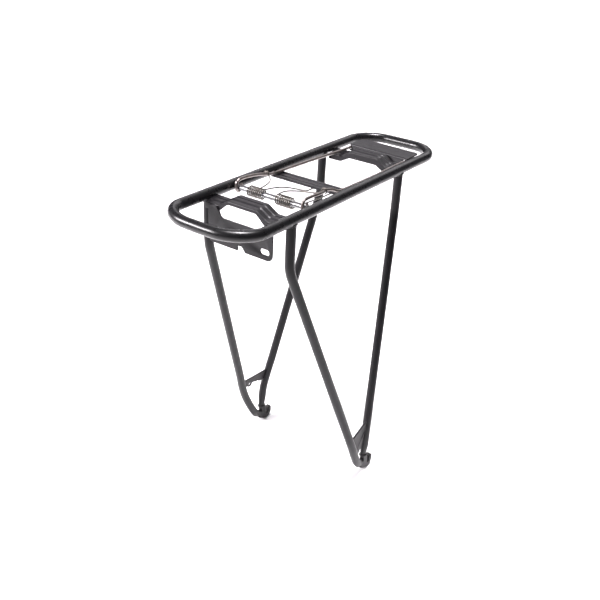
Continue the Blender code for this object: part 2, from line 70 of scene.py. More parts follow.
# ---- dimensions in metres, in the deck frame: the middle of the loop, at the height of its tube axis --
# Visible pieces are up to 0.2 mm slimmer than their solids, so none stands past the part's box.
DECK = Vector((0.0, -0.0330, 0.4050))
RAIL_RADIUS = 0.00648            # loop tube, 13 mm across
HALF_WIDTH = 0.0585              # loop tube axis to the middle of the deck
HALF_LENGTH = 0.2045
REAR_CORNER = (0.0395, 0.0310)   # rear corner reach across and along
FRONT_CORNER = (0.0395, 0.0395)
REAR_BOW = 0.0036                # how far the rear end bulges past its corners

LEG_RADIUS = 0.00573
LEG_TOP_Z = -0.0030
LEG_BEND_Z = -0.0600             # where each leg leaves the vertical and splays out
REAR_LEG_Y = -0.1286
FRONT_LEG_Y = 0.0979
REAR_ANKLE = (0.0925, -0.0172, -0.3480)
FRONT_ANKLE = (0.0900, 0.0252, -0.3540)
REAR_HEEL = (0.0914, 0.0045, -0.3905)
REAR_LEG_END = (0.0910, 0.0170, -0.4015)
FRONT_LEG_END = (0.0910, 0.0225, -0.3880)
BEND_RADIUS = 0.055
ANKLE_CURVE = 0.17               # share of the leg above its ankle that joins the foot curve
FLAT_FROM = 0.955                # share of a leg's length where its end starts to flatten
FLATTENING = 0.36                # share of the leg's width that its end loses

LUG_X = 0.0910
LUG_THICKNESS = 0.0068
LUG_TOE_RADIUS = 0.0099
SLOT = (0.0330, -0.4050)         # Y and Z of the fixing slot's round end
SLOT_HALF_WIDTH = 0.0028
PRONG_Z = -0.4015                # centre of the rounded end of the slot's front prong
SOCKET_DROP = 0.0012             # front leg end down to the lug
GUSSET_THICKNESS = 0.0024
STAY_HOLE = (-0.0098, -0.3325)   # Y and Z of the mudguard stay hole, in the left gusset only
STAY_HOLE_RADIUS = 0.0026
STAY_TAB_RADIUS = 0.0049

SHEET = 0.0020                   # pressed arches
EAR_TOP_Z = -0.0025
ARCH_TOP_Z = 0.0055
ARCH_HALF_TOP = 0.0200           # half length of the raised middle
ARCH_HALF_FOOT = 0.0330          # half length where the slopes reach the ears
ARCH_BEND_REACH = 0.0022         # how far each bend along the arch is spread out
EAR_END_X = 0.0520
ARCH_DEPTH = 0.0229
REAR_ARCH_Y = -0.1410            # rear edge of each arch
FRONT_ARCH_Y = 0.1040
REAR_APRON = 0.0055              # height of the turned-down rear edge, middle of the arch
FRONT_APRON = 0.0100
APRON_EAR_Z = -0.0115            # lowest edge of the apron at the ears
SHELF_DROP = 0.0013              # shelf behind the step, below the top
FOLD_RADIUS = 0.0014             # fold between the apron and the shelf
GROOVE_HALF_WIDTH = 0.0019          # pressed groove along the top
GROOVE_DEPTH = 0.0009
GROOVE_END_X = 0.0500
GROOVE_FADE = 0.006

LAMP_SHEET = 0.0019
LAMP_SETBACK = 0.0022            # rear face of the lamp plate behind the rear arch's edge
LAMP_HALF_WIDTH = 0.0454
LAMP_BOTTOM_Z = -0.0489
LAMP_SILL_Z = -0.0165
LAMP_SHOULDER_Z = -0.0050
LAMP_SLOT_X = 0.0350
LAMP_SLOT_Z = -0.0393
LAMP_SLOT_HALF_LENGTH = 0.0062
LAMP_SLOT_RADIUS = 0.0034
LAMP_CORNER = 0.0070
LAMP_SILL_CORNER = 0.0060
LAMP_WINDOW_X = 0.0030           # middle of the cut-away in the plate's top edge
LAMP_NOTCH_HEIGHT = 0.0062

BAR_Y = -0.0125                  # middle crossbar
BAR_DEPTH = 0.0199
BAR_TOP_Z = -0.0022
BAR_THICKNESS = 0.0030
BAR_END_X = 0.0519
BAR_EDGE = 0.0006                # rounding of its two top edges
BAR_GROOVE_Y = 0.0045            # each groove's middle from the bar's middle
BAR_GROOVE_HALF = 0.0017
BAR_GROOVE_DEPTH = 0.0010

HINGE = Vector(frame["joints"][0]["pos_m"]) - DECK
AXLE_RADIUS = 0.0025
AXLE_END_X = 0.0516
SLEEVE_RADIUS = 0.0034
WIRE_RADIUS = 0.0019             # clamp wire
WIRE_SLIMMING = 0.994
EYE_X = 0.0468
EYE_RADIUS = 0.0047
WIRE_FRONT_X = 0.0428
WIRE_FRONT_Y = 0.1600
WIRE_FRONT_Z = 0.0001
WIRE_CORNER = 0.0090             # corner between each arm and the front of the clamp wire
CLAMP_SKEW = 0.0055              # how far the front of the clamp sits to the right
CLAMP_SKEW_FROM = 0.050          # ahead of the hinge axis, where the skew begins
CLAMP_PLATE_TOP_Z = 0.0048
CLAMP_SHEET = 0.0015
CLAMP_PLATE_Y = (0.1325, 0.1655)
CLAMP_PLATE_X = (-0.0390, 0.0512)
CLAMP_PLATE_CORNER = 0.0060
CLAMP_PLATE_FOLD = 0.0022        # bend radius between the plate and its rear lip
CLAMP_PLATE_TURN = 0.045         # the plate's right end sits this much further back, per metre of width
CLAMP_LIP_Z = -0.0036
CLAMP_LIP_LEAN = 0.0014
WIRE_CLEARANCE = 0.0006          # round the clamp wire, in the plate and in the springs' hooks

SPRING_WIRE = 0.0009             # wire radius of the torsion springs
SPRING_SLIMMING = 0.995
COIL_RADIUS = 0.0057
COIL_TURNS = 7.5
COIL_LENGTH = 0.0203
LEFT_COIL_X = -0.0304            # left end of each coil
RIGHT_COIL_X = 0.0097
HOOK_PLACE = (0.0418, 0.0440, 0.0057)   # middle of each hook, from the hinge axis

WELD_X = 0.0527                  # beads along the rails' inner sides
SADDLE_BEAD = 0.0011             # radius of each kind of bead
LINE_BEAD = 0.0010
AXLE_BEAD = 0.0008
FOOT_BEAD = 0.0009
WELD_RIPPLE = 0.18               # lumps and ripples, as a share of a bead's radius
WELD_PITCH = 0.0022              # from one ripple to the next
WELD_LUMPS_PER_METRE = 420

FLOOR_Z = START_BOUNDS[0][2] - 0.0004
FLOOR_SIZE = 20.0
CAMERA_PLACE = Vector((0.505683, -0.750746, 0.312965))   # from the middle of the deck
CAMERA_FORWARD = Vector((-0.503030, 0.725807, -0.469217))
CAMERA_RIGHT = Vector((0.806652, 0.589187, 0.046600))
CAMERA_LENS = 47.066
LIGHT_COLOUR = (1.0, 0.962, 0.995)


# ---- paths -------------------------------------------------------------------------------------
def rounded_path(points, radius, steps=10):
    """Straight runs joined by arcs of the radius, or smaller ones where a run is short."""
    points = [Vector(p) for p in points]
    path = [points[0]]
    for before, corner, after in zip(points, points[1:], points[2:]):
        back = (before - corner).normalized()
        ahead = (after - corner).normalized()
        half = back.angle(ahead) / 2
        reach = min(radius / math.tan(half), 0.48 * (before - corner).length,
                    0.48 * (after - corner).length)
        centre = corner + (back + ahead).normalized() * (reach / math.cos(half))
        spoke = corner + back * reach - centre
        axis = ahead.cross(back)
        turn = math.pi - 2 * half
        path += [centre + Matrix.Rotation(turn * i / steps, 3, axis) @ spoke for i in range(steps + 1)]
    path.append(points[-1])
    return path


def smooth_path(points, steps):
    """Smooth curve through every point (Catmull-Rom)."""
    points = [Vector(p) for p in points]
    ends = [2 * points[0] - points[1], *points, 2 * points[-1] - points[-2]]
    path = []
    for a, b, c, d in zip(ends, ends[1:], ends[2:], ends[3:]):
        for i in range(steps):
            t = i / steps
            path.append(0.5 * (2 * b + (c - a) * t + (2 * a - 5 * b + 4 * c - d) * t * t
                               + (3 * b - a - 3 * c + d) * t ** 3))
    path.append(points[-1])
    return path


def arc(centre, radius, start_deg, end_deg, steps):
    """Points of an arc in a plane, both ends included."""
    angles = (math.radians(start_deg + (end_deg - start_deg) * i / steps) for i in range(steps + 1))
    return [(centre[0] + radius * math.cos(a), centre[1] + radius * math.sin(a)) for a in angles]


# ---- mesh helpers --------------------------------------------------------------------------------
def link(name, mesh, material, smooth_angle=40):
    """Object of a mesh, in the scene, with its one material."""
    mesh.materials.clear()
    mesh.materials.append(material)
    mesh.shade_smooth()
    mesh.set_sharp_from_angle(angle=math.radians(smooth_angle))
    obj = bpy.data.objects.new(name, mesh)
    bpy.context.scene.collection.objects.link(obj)
    return obj


def bake(obj):
    """Modifiers turned into plain mesh."""
    graph = bpy.context.evaluated_depsgraph_get()
    graph.update()
    mesh = bpy.data.meshes.new_from_object(obj.evaluated_get(graph))
    obj.modifiers.clear()
    obj.data = mesh
    return obj


def bevel(obj, width, segments=2, angle=35):
    """Edges sharper than the angle eased by a bevel."""
    modifier = obj.modifiers.new("bevel", "BEVEL")
    modifier.width = width
    modifier.segments = segments
    modifier.limit_method = "ANGLE"
    modifier.angle_limit = math.radians(angle)
    modifier.harden_normals = False
    return bake(obj)


def subtract(obj, cutters):
    """The cutters taken out of the piece, then removed."""
    for cutter in cutters:
        modifier = obj.modifiers.new("cut", "BOOLEAN")
        modifier.operation = "DIFFERENCE"
        modifier.solver = "EXACT"
        modifier.object = cutter
    bake(obj)
    for cutter in cutters:
        bpy.data.objects.remove(cutter, do_unlink=True)


def sweep(name, path, radius, material, sides=32, cyclic=False, shape=None, chamfer=0.0004):
    """Round bar along a path, in the deck frame, with UVs along and around it.

    shape(share) gives the ring's two scales, across X first, at a share of the length.
    """
    path = [Vector(p) for p in path]
    count = len(path)
    tangents = []
    for i in range(count):
        before = path[i - 1] if (i or cyclic) else path[i]
        after = path[(i + 1) % count] if (i < count - 1 or cyclic) else path[i]
        tangents.append((after - before).normalized())
    lengths = [0.0]
    for a, b in zip(path, path[1:]):
        lengths.append(lengths[-1] + (b - a).length)
    total = lengths[-1]
    axis = Vector((1, 0, 0))
    if abs(tangents[0].x) > 0.8:
        axis = Vector((0, 0, 1))
    normal = (axis - tangents[0] * axis.dot(tangents[0])).normalized()
    normals = [normal]
    for a, b in zip(tangents, tangents[1:]):
        normal = a.rotation_difference(b) @ normal
        normals.append((normal - b * normal.dot(b)).normalized())
    twist = 0.0
    if cyclic:
        closed = tangents[-1].rotation_difference(tangents[0]) @ normals[-1]
        twist = math.atan2(closed.cross(normals[0]).dot(tangents[0]), closed.dot(normals[0]))
    bm = bmesh.new()
    layer = bm.loops.layers.uv.new("along")
    rings = []
    stations = []

    def ring(i, scale, offset=0.0):
        normal = normals[i]
        if cyclic:
            normal = Matrix.Rotation(twist * i / count, 3, tangents[i]) @ normal
        side = tangents[i].cross(normal)
        wide, tall = shape(lengths[i] / total) if shape else (1.0, 1.0)
        centre = path[i] + tangents[i] * offset
        angles = (2 * math.pi * k / sides for k in range(sides))
        rings.append([bm.verts.new(DECK + centre + normal * (radius * scale * wide * math.cos(a))
                                   + side * (radius * scale * tall * math.sin(a))) for a in angles])
        stations.append(lengths[i] + offset)

    inset = 1 - chamfer / radius
    if not cyclic:
        ring(0, inset)
        ring(0, 1.0, chamfer)
        body = range(1, count - 1)
    else:
        body = range(count)
    for i in body:
        ring(i, 1.0)
    if not cyclic:
        ring(count - 1, 1.0, -chamfer)
        ring(count - 1, inset)
    pairs = list(zip(range(len(rings)), range(1, len(rings))))
    if cyclic:
        pairs.append((len(rings) - 1, 0))
        stations.append(total)
    turn = 2 * math.pi * radius / sides
    for a, b in pairs:
        end = stations[b] if b else total
        for k in range(sides):
            m = (k + 1) % sides
            face = bm.faces.new((rings[a][k], rings[a][m], rings[b][m], rings[b][k]))
            for loop, uv in zip(face.loops, ((stations[a], k * turn), (stations[a], (k + 1) * turn),
                                             (end, (k + 1) * turn), (end, k * turn))):
                loop[layer].uv = uv
    if not cyclic:
        bm.faces.new(rings[0])
        bm.faces.new(rings[-1])
    bmesh.ops.recalc_face_normals(bm, faces=bm.faces)
    mesh = bpy.data.meshes.new(name)
    bm.to_mesh(mesh)
    bm.free()
    return link(name, mesh, material)


def slab(name, outline, low, high, material, axis="X"):
    """Flat piece: outline in the plane across the axis, X or Y, from low to high along it."""
    def place(a, b, t):
        return Vector((t, a, b)) if axis == "X" else Vector((a, t, b))

    bm = bmesh.new()
    face = bm.faces.new([bm.verts.new(DECK + place(a, b, low)) for a, b in outline])
    extruded = bmesh.ops.extrude_face_region(bm, geom=[face])
    moved = [item for item in extruded["geom"] if isinstance(item, bmesh.types.BMVert)]
    bmesh.ops.translate(bm, verts=moved, vec=place(0, 0, high - low))
    bmesh.ops.recalc_face_normals(bm, faces=bm.faces)
    mesh = bpy.data.meshes.new(name)
    bm.to_mesh(mesh)
    bm.free()
    return link(name, mesh, material)


def sheet(name, rows, thickness, material, inside):
    """Pressed sheet: a grid of points for its outer face, thickened inwards, with eased edges."""
    bm = bmesh.new()
    grid = [[bm.verts.new(DECK + Vector(p)) for p in row] for row in rows]
    for a, b in zip(grid, grid[1:]):
        for i in range(len(a) - 1):
            bm.faces.new((a[i], a[i + 1], b[i + 1], b[i]))
    bmesh.ops.recalc_face_normals(bm, faces=bm.faces)
    middle = min(bm.faces, key=lambda f: (f.calc_center_median() - DECK - Vector(inside)).length)
    if middle.normal.dot(Vector((0, 0, 1))) < 0:
        bmesh.ops.reverse_faces(bm, faces=bm.faces)
    mesh = bpy.data.meshes.new(name)
    bm.to_mesh(mesh)
    bm.free()
    obj = link(name, mesh, material)
    solid = obj.modifiers.new("thickness", "SOLIDIFY")
    solid.thickness = thickness
    solid.offset = -1
    solid.use_even_offset = True
    return bevel(obj, 0.00035, angle=50)


def bead(name, path, radius, cyclic=False):
    """Weld bead: a lumpy bar with the overlapping ripples of a weld pool."""
    obj = sweep(name, path, radius, WELD, sides=14, cyclic=cyclic, chamfer=radius * 0.35)
    along = obj.data.uv_layers["along"].data
    stations = {}
    for loop in obj.data.loops:
        stations.setdefault(loop.vertex_index, along[loop.index].uv.x)
    for vertex in obj.data.vertices:
        station = stations.get(vertex.index, 0.0)
        nearest = min(path, key=lambda p: (p + DECK - vertex.co).length_squared) + DECK
        out = vertex.co - nearest
        wave = math.sin(2 * math.pi * station / WELD_PITCH)
        lump = noise.noise(vertex.co * WELD_LUMPS_PER_METRE)
        vertex.co = nearest + out * (1 + WELD_RIPPLE * (0.5 * wave + lump))
    return obj


# ---- materials -------------------------------------------------------------------------------------
def new_material(name):
    """Material, its nodes, its links and its Principled BSDF."""
    material = bpy.data.materials.new(name)
    material.use_nodes = True
    nodes = material.node_tree.nodes
    return material, nodes, material.node_tree.links, nodes["Principled BSDF"]


def add_noise(nodes, links, source, scale, detail, rough=0.55):
    tex = nodes.new("ShaderNodeTexNoise")
    tex.inputs["Scale"].default_value = scale
    tex.inputs["Detail"].default_value = detail
    tex.inputs["Roughness"].default_value = rough
    links.new(source, tex.inputs["Vector"])
    return tex.outputs["Fac"]


def ramp(nodes, links, source, stops):
    """Colour ramp: stops are places from 0 to 1, each with its colour."""
    node = nodes.new("ShaderNodeValToRGB")
    elements = node.color_ramp.elements
    for element, (place, colour) in zip(elements, (stops[0], stops[-1])):
        element.position = place
        element.color = (*colour, 1.0)
    for place, colour in stops[1:-1]:
        element = elements.new(place)
        element.color = (*colour, 1.0)
    links.new(source, node.inputs["Fac"])
    return node.outputs["Color"]


def span(nodes, links, source, low, high, start=0.3, end=0.7):
    """Value that runs from low to high while its source runs from start to end."""
    node = nodes.new("ShaderNodeMapRange")
    node.inputs["From Min"].default_value = start
    node.inputs["From Max"].default_value = end
    node.inputs["To Min"].default_value = low
    node.inputs["To Max"].default_value = high
    links.new(source, node.inputs["Value"])
    return node.outputs["Result"]


def add_bump(nodes, links, shader, height, strength, distance, after=None):
    """Bump on the shader's normal, on top of an earlier bump where one is given."""
    bump = nodes.new("ShaderNodeBump")
    bump.inputs["Strength"].default_value = strength
    bump.inputs["Distance"].default_value = distance
    links.new(height, bump.inputs["Height"])
    if after is not None:
        links.new(after, bump.inputs["Normal"])
    links.new(bump.outputs["Normal"], shader.inputs["Normal"])
    return bump.outputs["Normal"]


def powder_coat(name, dark, light, rough, peel, specular):
    """Baked powder coat: uneven tone, orange-peel surface, faint handling marks and dust."""
    material, nodes, links, shader = new_material(name)
    place = nodes.new("ShaderNodeTexCoord").outputs["Object"]
    tone = add_noise(nodes, links, place, scale=26.0, detail=5.0)
    dust = add_noise(nodes, links, place, scale=620.0, detail=3.0, rough=0.7)
    base = ramp(nodes, links, tone, ((0.30, dark), (0.72, light)))
    specks = ramp(nodes, links, dust, ((0.66, (0, 0, 0)), (0.80, (0.055, 0.053, 0.052))))
    mix = nodes.new("ShaderNodeMixRGB")
    mix.blend_type = "ADD"
    mix.inputs["Fac"].default_value = 0.6
    links.new(base, mix.inputs["Color1"])
    links.new(specks, mix.inputs["Color2"])
    links.new(mix.outputs["Color"], shader.inputs["Base Color"])
    marks = add_noise(nodes, links, place, scale=95.0, detail=6.0, rough=0.65)
    links.new(span(nodes, links, marks, rough - 0.05, rough + 0.09), shader.inputs["Roughness"])
    orange = add_noise(nodes, links, place, scale=780.0, detail=2.0, rough=0.45)
    grain = add_noise(nodes, links, place, scale=3200.0, detail=1.0, rough=0.5)
    first = add_bump(nodes, links, shader, orange, strength=peel, distance=0.0004)
    add_bump(nodes, links, shader, grain, strength=peel * 0.5, distance=0.0001, after=first)
    shader.inputs["Specular IOR Level"].default_value = specular
    return material


def drawn_wire(name, dark, light, rough, tarnish):
    """Bright drawn wire: fine lines along its length, with patches of darker oxide."""
    material, nodes, links, shader = new_material(name)
    uv = nodes.new("ShaderNodeUVMap")
    uv.uv_map = "along"
    stretch = nodes.new("ShaderNodeMapping")
    stretch.inputs["Scale"].default_value = (0.03, 1.0, 1.0)
    links.new(uv.outputs["UV"], stretch.inputs["Vector"])
    lines = add_noise(nodes, links, stretch.outputs["Vector"], scale=5200.0, detail=4.0, rough=0.6)
    place = nodes.new("ShaderNodeTexCoord").outputs["Object"]
    patch = add_noise(nodes, links, place, scale=150.0, detail=5.0, rough=0.6)
    bright = ramp(nodes, links, lines, ((0.30, dark), (0.66, light)))
    stain = ramp(nodes, links, patch, ((0.40, (1, 1, 1)), (0.78, tarnish)))
    mix = nodes.new("ShaderNodeMixRGB")
    mix.blend_type = "MULTIPLY"
    mix.inputs["Fac"].default_value = 1.0
    links.new(bright, mix.inputs["Color1"])
    links.new(stain, mix.inputs["Color2"])
    links.new(mix.outputs["Color"], shader.inputs["Base Color"])
    links.new(span(nodes, links, patch, rough - 0.04, rough + 0.14), shader.inputs["Roughness"])
    add_bump(nodes, links, shader, lines, strength=0.12, distance=0.0001)
    shader.inputs["Metallic"].default_value = 1.0
    return material


def plated(name, dark, light, rough):
    """Bright zinc plating: cloudy tone, fine scratches in rings round the axle."""
    material, nodes, links, shader = new_material(name)
    place = nodes.new("ShaderNodeTexCoord").outputs["Object"]
    stretch = nodes.new("ShaderNodeMapping")
    stretch.inputs["Scale"].default_value = (1.0, 0.06, 0.06)
    links.new(place, stretch.inputs["Vector"])
    rings = add_noise(nodes, links, stretch.outputs["Vector"], scale=2600.0, detail=3.0, rough=0.6)
    cloud = add_noise(nodes, links, place, scale=210.0, detail=4.0, rough=0.6)
    links.new(ramp(nodes, links, cloud, ((0.34, dark), (0.68, light))), shader.inputs["Base Color"])
    links.new(span(nodes, links, rings, rough - 0.05, rough + 0.12), shader.inputs["Roughness"])
    add_bump(nodes, links, shader, rings, strength=0.10, distance=0.0001)
    shader.inputs["Metallic"].default_value = 1.0
    return material


TUBE = powder_coat("powder_coat_tube", (0.0034, 0.0033, 0.0039), (0.0060, 0.0057, 0.0067),
                   rough=0.27, peel=0.002, specular=0.45)
LEG = powder_coat("powder_coat_leg", (0.0046, 0.0042, 0.0050), (0.0078, 0.0072, 0.0084),
                  rough=0.36, peel=0.03, specular=0.25)
PRESSING = powder_coat("powder_coat_pressing", (0.0072, 0.0064, 0.0078), (0.0120, 0.0108, 0.0128),
                       rough=0.38, peel=0.05, specular=0.28)
WELD = powder_coat("powder_coat_weld", (0.0036, 0.0035, 0.0040), (0.0080, 0.0077, 0.0086),
                   rough=0.32, peel=0.12, specular=0.40)
NICKEL = drawn_wire("nickel_wire", (0.22, 0.196, 0.189), (0.36, 0.326, 0.314),
                    rough=0.30, tarnish=(0.66, 0.60, 0.57))
SPRING = drawn_wire("spring_wire", (0.090, 0.085, 0.077), (0.205, 0.194, 0.180),
                    rough=0.30, tarnish=(0.60, 0.55, 0.50))
ZINC = plated("zinc_plating", (0.17, 0.17, 0.176), (0.27, 0.27, 0.276), rough=0.32)


# ---- deck ---------------------------------------------------------------------------------------------
def loop_path(per_corner=28, straight=14):
    """The closed deck loop: four elliptical corners, with a rear end that bows out."""
    corners = ((1, 1, FRONT_CORNER, 0), (-1, 1, FRONT_CORNER, 90),
               (-1, -1, REAR_CORNER, 180), (1, -1, REAR_CORNER, 270))
    turns = []
    for side, end, (across, along), start in corners:
        angles = (math.radians(start + 90 * i / per_corner) for i in range(per_corner + 1))
        turns.append([Vector((side * (HALF_WIDTH - across) + across * math.cos(a),
                              end * (HALF_LENGTH - along) + along * math.sin(a), 0)) for a in angles])
    path = []
    for points, following in zip(turns, turns[1:] + turns[:1]):
        path += points
        path += [points[-1].lerp(following[0], i / straight) for i in range(1, straight)]
    for point in path:
        depth = (-point.y - (HALF_LENGTH - REAR_CORNER[1])) / REAR_CORNER[1]
        point.y -= REAR_BOW * max(0.0, depth) * math.cos(0.5 * math.pi * point.x / HALF_WIDTH)
    return path


def arch_height(x):
    """Top of the arch at X, with the bends between its middle, slopes and ears rounded."""
    def sharp(x):
        share = (abs(x) - ARCH_HALF_TOP) / (ARCH_HALF_FOOT - ARCH_HALF_TOP)
        return ARCH_TOP_Z + (EAR_TOP_Z - ARCH_TOP_Z) * min(1.0, max(0.0, share))

    return sum(sharp(x + ARCH_BEND_REACH * i / 4) for i in range(-4, 5)) / 9


def arch_rows(rear_y, apron, count=88):
    """Outer face of an arch: turned-down rear edge, low shelf, step, then the grooved top."""
    front_y = rear_y + ARCH_DEPTH
    step_y = rear_y + 0.35 * ARCH_DEPTH
    groove_y = rear_y + 0.66 * ARCH_DEPTH
    rows = []
    for i in range(count + 1):
        x = EAR_END_X * (2 * i / count - 1)
        top = arch_height(x)
        share = (top - EAR_TOP_Z) / (ARCH_TOP_Z - EAR_TOP_Z)
        low = APRON_EAR_Z + (ARCH_TOP_Z - apron - APRON_EAR_Z) * share
        shelf = top - SHELF_DROP
        row = [(rear_y, low + (shelf - 0.0016 - low) * k / 3) for k in range(4)]
        row += arc((rear_y + FOLD_RADIUS, shelf - FOLD_RADIUS), FOLD_RADIUS, 160, 90, 4)
        row += [(rear_y + 0.0032, shelf), (step_y - 0.0016, shelf), (step_y - 0.0006, shelf + 0.0001),
                (step_y + 0.0006, top - 0.0002), (step_y + 0.0014, top)]
        fade = min(1.0, max(0.0, (GROOVE_END_X - abs(x)) / GROOVE_FADE))
        for across in (k / 4 - 1 for k in range(9)):
            depth = GROOVE_DEPTH * fade * (0.5 + 0.5 * math.cos(math.pi * across))
            row.append((groove_y + GROOVE_HALF_WIDTH * across, top - depth))
        row += [(front_y - 0.0012, top), (front_y, top - 0.0001)]
        rows.append([(x, y, z) for y, z in row])
    return rows


def build_arch(name, node, rear_y, apron):
    top_point = (0.0, rear_y + 0.9 * ARCH_DEPTH, ARCH_TOP_Z)
    obj = sheet(name, arch_rows(rear_y, apron), SHEET, PRESSING, top_point)
    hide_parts(node)
    return obj


def lamp_outline():
    """Round lower corners, a notch in the lower edge, and a cut-away top between two shoulders."""
    wide, low, corner, sill_corner = LAMP_HALF_WIDTH, LAMP_BOTTOM_Z, LAMP_CORNER, LAMP_SILL_CORNER
    notch_top = low + LAMP_NOTCH_HEIGHT
    left = [(-wide, LAMP_SHOULDER_Z), *arc((-wide + corner, low + corner), corner, 180, 270, 12),
            (-0.0030, low), (-0.0030, notch_top)]
    right = [(0.0030, notch_top), (0.0078, low),
             *arc((wide - corner, low + corner), corner, 270, 360, 12), (wide, LAMP_SHOULDER_Z)]
    half = [*arc((0.0260, LAMP_SILL_Z + sill_corner), sill_corner, -90, 0, 12),
            (0.0345, -0.0085), (0.0370, LAMP_SHOULDER_Z)]
    top_right = [(LAMP_WINDOW_X + x, z) for x, z in reversed(half)]
    top_left = [(LAMP_WINDOW_X - x, z) for x, z in half]
    return left + right + top_right + top_left


def build_lamp_plate():
    rear = REAR_ARCH_Y - LAMP_SETBACK
    obj = slab("lamp_bracket", lamp_outline(), rear, rear + LAMP_SHEET, PRESSING, "Y")
    reach = LAMP_SLOT_HALF_LENGTH - LAMP_SLOT_RADIUS
    slot = arc((reach, 0), LAMP_SLOT_RADIUS, -90, 90, 20)
    slot += arc((-reach, 0), LAMP_SLOT_RADIUS, 90, 270, 20)
    cutters = [slab("slot", [(side * LAMP_SLOT_X + x, LAMP_SLOT_Z + z) for x, z in slot],
                    rear - 0.005, rear + 0.007, PRESSING, "Y") for side in (-1, 1)]
    subtract(obj, cutters)
    bevel(obj, 0.0003)
    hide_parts("lamp_plate")
    return obj


def build_crossbar():
    """Flat bar with two rounded grooves along its top, its long edges eased."""
    rear, front = BAR_Y - BAR_DEPTH / 2, BAR_Y + BAR_DEPTH / 2
    bottom, edge_z = BAR_TOP_Z - BAR_THICKNESS, BAR_TOP_Z - BAR_EDGE
    section = [(rear, bottom), (rear, edge_z), *arc((rear + BAR_EDGE, edge_z), BAR_EDGE, 160, 90, 4)]
    for centre in (BAR_Y - BAR_GROOVE_Y, BAR_Y + BAR_GROOVE_Y):
        section += [(centre + BAR_GROOVE_HALF * math.cos(a), BAR_TOP_Z - BAR_GROOVE_DEPTH * math.sin(a))
                    for a in (math.pi * (1 - k / 10) for k in range(11))]
    section += [*arc((front - BAR_EDGE, edge_z), BAR_EDGE, 90, 0, 5), (front, bottom)]
    obj = slab("grooved_crossbar", section, -BAR_END_X, BAR_END_X, PRESSING)
    bevel(obj, 0.00025, angle=50)
    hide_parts("middle_crossbar")
    return obj


# ---- legs and feet ------------------------------------------------------------------------------------
def leg_path(front, side):
    """Down from the rail, out along the splayed leg, then round into the foot."""
    y = FRONT_LEG_Y if front else REAR_LEG_Y
    low = [FRONT_ANKLE, FRONT_LEG_END] if front else [REAR_ANKLE, REAR_HEEL, REAR_LEG_END]
    points = [(HALF_WIDTH, y, LEG_TOP_Z), (HALF_WIDTH, y, LEG_BEND_Z), *low]
    top, bend, ankle, *low = (Vector((side * x, y, z)) for x, y, z in points)
    start = ankle.lerp(bend, ANKLE_CURVE)
    return rounded_path([top, bend, start], BEND_RADIUS) + smooth_path([start, ankle, *low], 12)[1:]


def dense(path, longest=0.012):
    """The path with extra points, so that no step is longer than given."""
    out = [path[0]]
    for a, b in zip(path, path[1:]):
        parts = max(1, math.ceil((b - a).length / longest))
        out += [a.lerp(b, (i + 1) / parts) for i in range(parts)]
    return out


def build_leg(side, front):
    label = ("front" if front else "rear") + ("_left" if side < 0 else "_right")

    def shape(share):
        flat = min(1.0, max(0.0, (share - FLAT_FROM) / (1 - FLAT_FROM)))
        return 1 - FLATTENING * flat * flat * (3 - 2 * flat), 1.0

    obj = sweep(label + "_stay", dense(leg_path(front, side)), LEG_RADIUS, LEG, sides=40, shape=shape)
    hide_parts(label + "_leg")
    return obj


def lug_outline():
    """The flattened foot: both legs run into it, and a hooked toe goes round the open bolt slot."""
    end, heel = Vector(REAR_LEG_END[1:]), Vector(REAR_HEEL[1:])
    along = (end - heel).normalized()
    across = Vector((-along.y, along.x))
    start = end - along * 0.0010
    outer, inner = start - across * LEG_RADIUS, start + across * LEG_RADIUS
    toe = arc(SLOT, LUG_TOE_RADIUS, -120, 10, 26)
    prong_radius = (LUG_TOE_RADIUS - SLOT_HALF_WIDTH) / 2
    prong = arc((SLOT[0] + SLOT_HALF_WIDTH + prong_radius, PRONG_Z), prong_radius, 10, 172, 16)
    throat = arc(SLOT, SLOT_HALF_WIDTH, 0, -180, 18)
    front_y = FRONT_LEG_END[1]
    socket_z = FRONT_LEG_END[2] - SOCKET_DROP
    socket = [(front_y + LEG_RADIUS, socket_z), (front_y - LEG_RADIUS + 0.001, socket_z)]
    crotch = [(SLOT[0] - SLOT_HALF_WIDTH, -0.3965), (0.0293, -0.3935), *socket, (0.0196, -0.3946)]
    sole = [outer, (0.0168, -0.4090), (0.0200, -0.4110), (0.0237, -0.4126)]
    return [tuple(p) for p in (*sole, *toe, *prong, *throat, *crotch, inner)]


def build_lug(side):
    label = "left" if side < 0 else "right"
    half = LUG_THICKNESS / 2
    obj = slab(label + "_foot", lug_outline(), side * LUG_X - half, side * LUG_X + half, LEG)
    bevel(obj, 0.0009, segments=3, angle=40)
    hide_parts(label + "_foot_lug")
    return obj


def band_outline():
    """Left gusset: a narrow web with a scalloped lower edge and a tab round the stay hole."""
    top_z, low_z = -0.3202, -0.3310
    return [(-0.0270, top_z), (0.0300, top_z - 0.0053), (0.0265, low_z - 0.0093),
            (0.0150, low_z - 0.0085), *arc((0.0128, low_z - 0.0062), 0.0020, -90, -170, 5),
            (0.0080, low_z - 0.0048), *arc((0.0035, low_z - 0.0030), 0.0018, -60, -140, 5),
            (-0.0010, low_z - 0.0020), (-0.0045, low_z - 0.0020),
            *arc(STAY_HOLE, STAY_TAB_RADIUS, -10, -150, 14), (-0.0235, top_z - 0.0118)]


def triangle_outline():
    """Right gusset: a deep web that narrows towards the foot."""
    return [(-0.0178, -0.3457), (0.0285, -0.3327), (0.0252, -0.3420), (0.0178, -0.3480), (0.0155, -0.3570),
            (0.0110, -0.3700), (0.0047, -0.3788), (-0.0040, -0.3740)]


